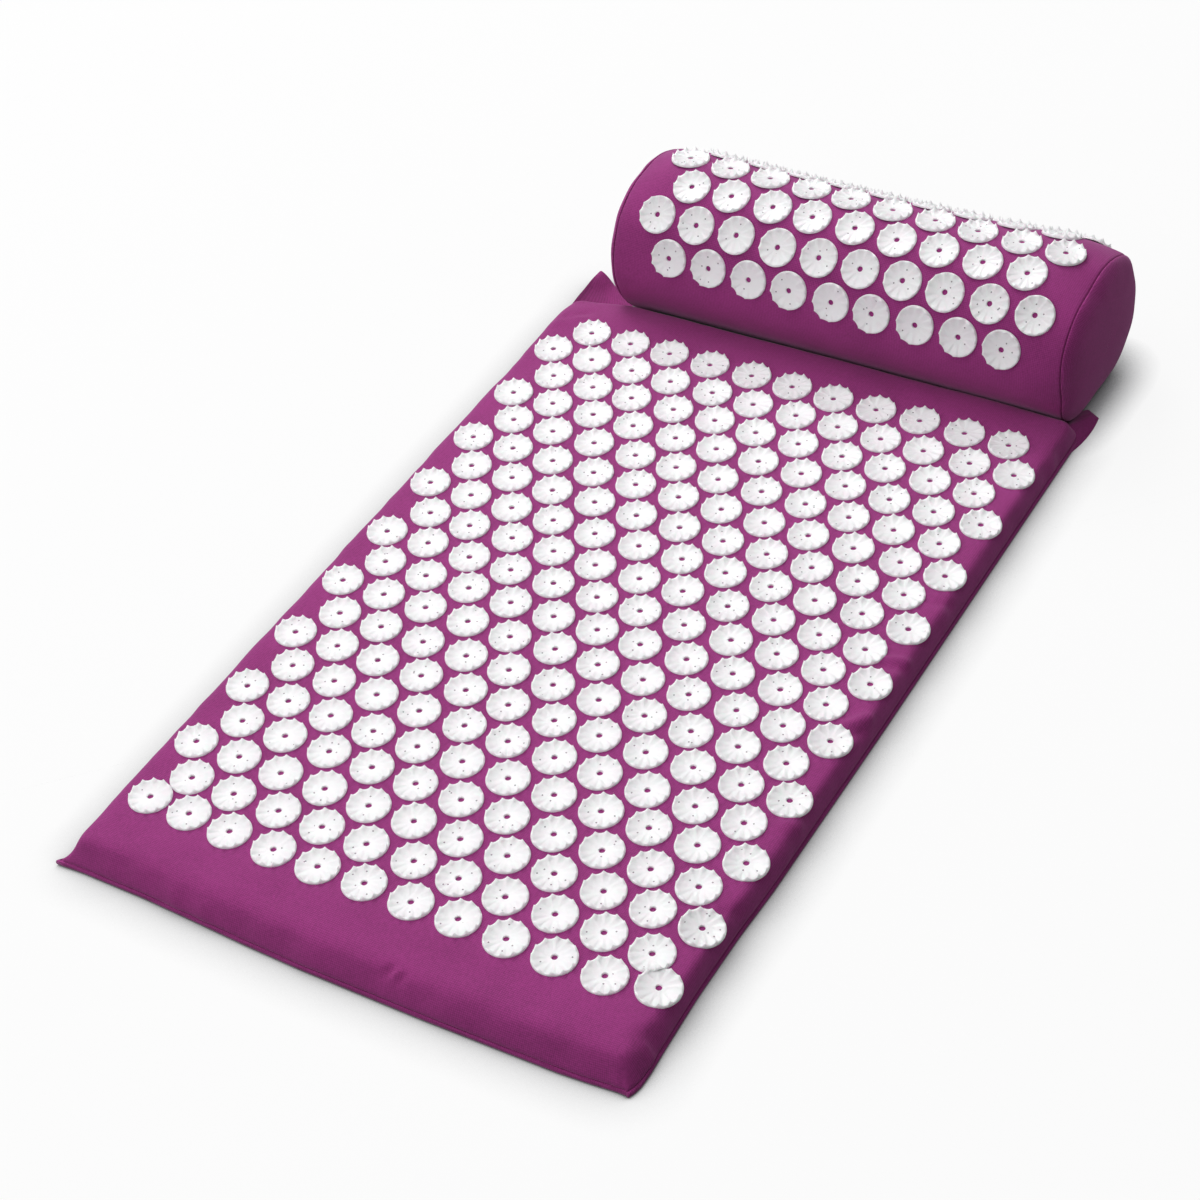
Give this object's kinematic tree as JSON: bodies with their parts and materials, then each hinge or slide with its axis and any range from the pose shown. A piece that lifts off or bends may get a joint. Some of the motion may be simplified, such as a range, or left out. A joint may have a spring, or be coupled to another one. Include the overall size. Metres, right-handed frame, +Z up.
{
  "type": "acupressure mat",
  "caption": "Thin padded mat covered with staggered rows of round spiked discs, with a matching spiked bolster pillow at its head end.",
  "frame": {"origin": "centre of the mat's flat underside, on the floor", "axes": "+X across the mat to its right side, +Y along the mat to its head end and the pillow, +Z up"},
  "size_m": [0.4184, 0.7562, 0.1168],
  "materials": {
    "cover_cloth": "plum plain-weave cotton, matt; the discs fused to it are white moulded plastic",
    "foam": "soft open-cell foam",
    "zip_tape": "woven tape with moulded teeth, in the cover's colour",
    "zip_metal": "plain die-cast metal"
  },
  "bodies": {
    "mat": {"mat_top_cover": "cover_cloth", "mat_base_cover": "cover_cloth", "mat_foam_core": "foam", "mat_zip_half_foot": "zip_tape", "mat_zip_half_head": "zip_tape", "mat_zip_stop_left": "zip_metal", "mat_zip_stop_right": "zip_metal"},
    "mat_slider": {"mat_zip_slider": "zip_metal"},
    "mat_pull": {"mat_zip_pull": "zip_metal"},
    "pillow": {"pillow_wrap_cover": "cover_cloth", "pillow_end_left": "cover_cloth", "pillow_end_right": "cover_cloth", "pillow_base_panel": "cover_cloth", "pillow_foam_core": "foam", "pillow_zip_half_foot": "zip_tape", "pillow_zip_half_head": "zip_tape", "pillow_zip_stop_left": "zip_metal", "pillow_zip_stop_right": "zip_metal"},
    "pillow_slider": {"pillow_zip_slider": "zip_metal"},
    "pillow_pull": {"pillow_zip_pull": "zip_metal"}
  },
  "joints": [
    {"name": "pillow_push_back", "type": "slide", "parent": "mat", "child": "pillow", "axis": [0, 1, 0], "range_m": [0, 0.12]},
    {"name": "mat_zip_run", "type": "slide", "parent": "mat", "child": "mat_slider", "axis": [-1, 0, 0], "range_m": [0, 0.2739]},
    {"name": "mat_pull_swing", "type": "hinge", "parent": "mat_slider", "child": "mat_pull", "pos_m": [0.14195, 0.26, 0.0018], "axis": [0, -1, 0], "range_deg": [0, 150]},
    {"name": "pillow_zip_run", "type": "slide", "parent": "pillow", "child": "pillow_slider", "axis": [-0.9996, 0.0293, 0], "range_m": [0, 0.2409]},
    {"name": "pillow_pull_swing", "type": "hinge", "parent": "pillow_slider", "child": "pillow_pull", "pos_m": [0.1384, 0.36167, 0.0018], "axis": [-0.0293, -0.9996, 0], "range_deg": [0, 150]}
  ]
}
